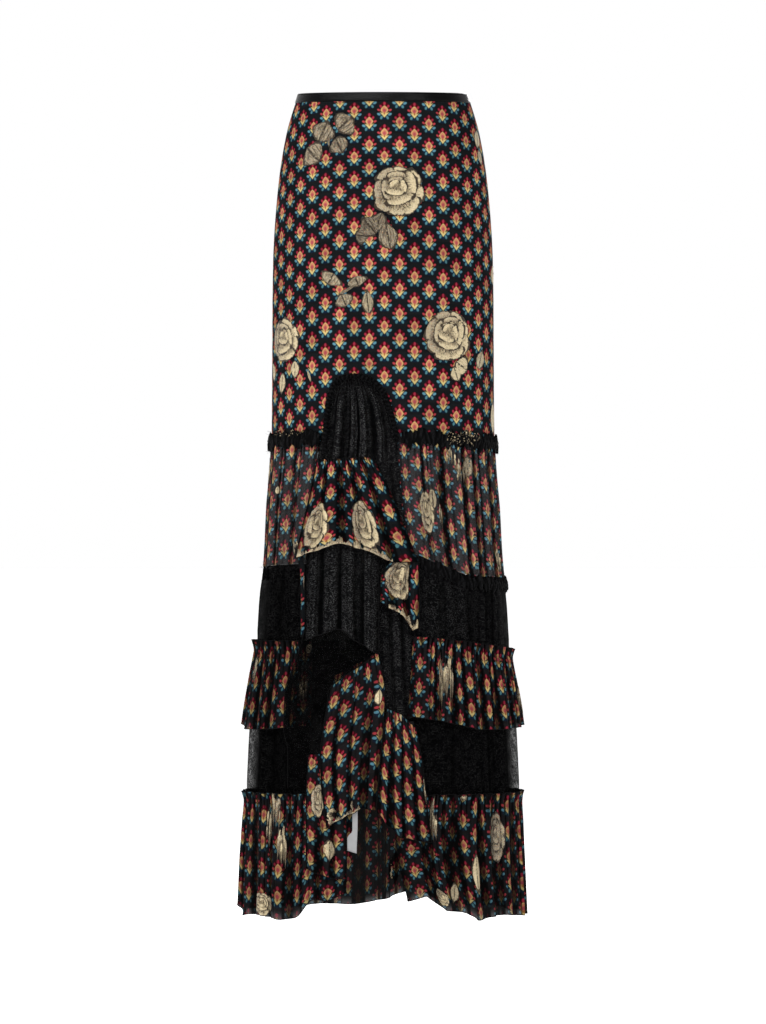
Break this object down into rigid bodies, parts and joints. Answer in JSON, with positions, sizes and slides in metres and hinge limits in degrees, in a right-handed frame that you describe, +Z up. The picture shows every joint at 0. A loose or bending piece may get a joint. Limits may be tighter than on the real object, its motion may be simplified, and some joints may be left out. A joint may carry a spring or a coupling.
{
  "type": "maxi skirt",
  "caption": "Hollow worn form of a long tiered skirt in floral-print crepe, chiffon and black lace, with a draped ruffle front.",
  "frame": {"origin": "centre of the waist opening, level with the waistband's top edge at the centre front", "axes": "+Z up, the front of the skirt faces -Y, +X is the picture's right"},
  "size_m": [0.4022, 0.3395, 1.1509],
  "materials": {
    "satin": "soft satin sheen",
    "crepe": "matte printed crepe with metallic woven flowers",
    "chiffon": "matte sheer printed chiffon",
    "lace": "matte floral lace on net",
    "frill": "matte ruched crepe",
    "label": "smooth satin tape"
  },
  "bodies": {
    "root": {"waistband_front": "satin", "waistband_back": "satin", "upper_front": "crepe", "upper_back": "crepe", "arch_frill": "frill", "arch_lace": "lace", "seam_frill_left": "frill", "seam_frill_right": "frill", "seam_frill_back": "frill", "tier2_left": "chiffon", "tier2_right": "chiffon", "tier2_back": "chiffon", "knee_frill_right": "frill", "knee_frill_back": "frill", "tier3_left": "lace", "tier3_right": "lace", "tier3_back": "lace", "tier4_left": "chiffon", "tier4_right": "chiffon", "tier4_back": "chiffon", "tier5_left": "lace", "tier5_right": "lace", "tier5_back": "lace", "tier6_left": "chiffon", "tier6_right": "chiffon", "tier6_back": "chiffon", "long_lace": "lace", "front_ruffle": "crepe", "right_tail": "crepe", "left_tail": "crepe", "lace_cascade": "lace", "lace_veil": "lace", "print_cascade_left": "chiffon", "print_cascade_right": "chiffon", "print_cascade_under": "chiffon", "care_label": "label"}
  },
  "joints": []
}
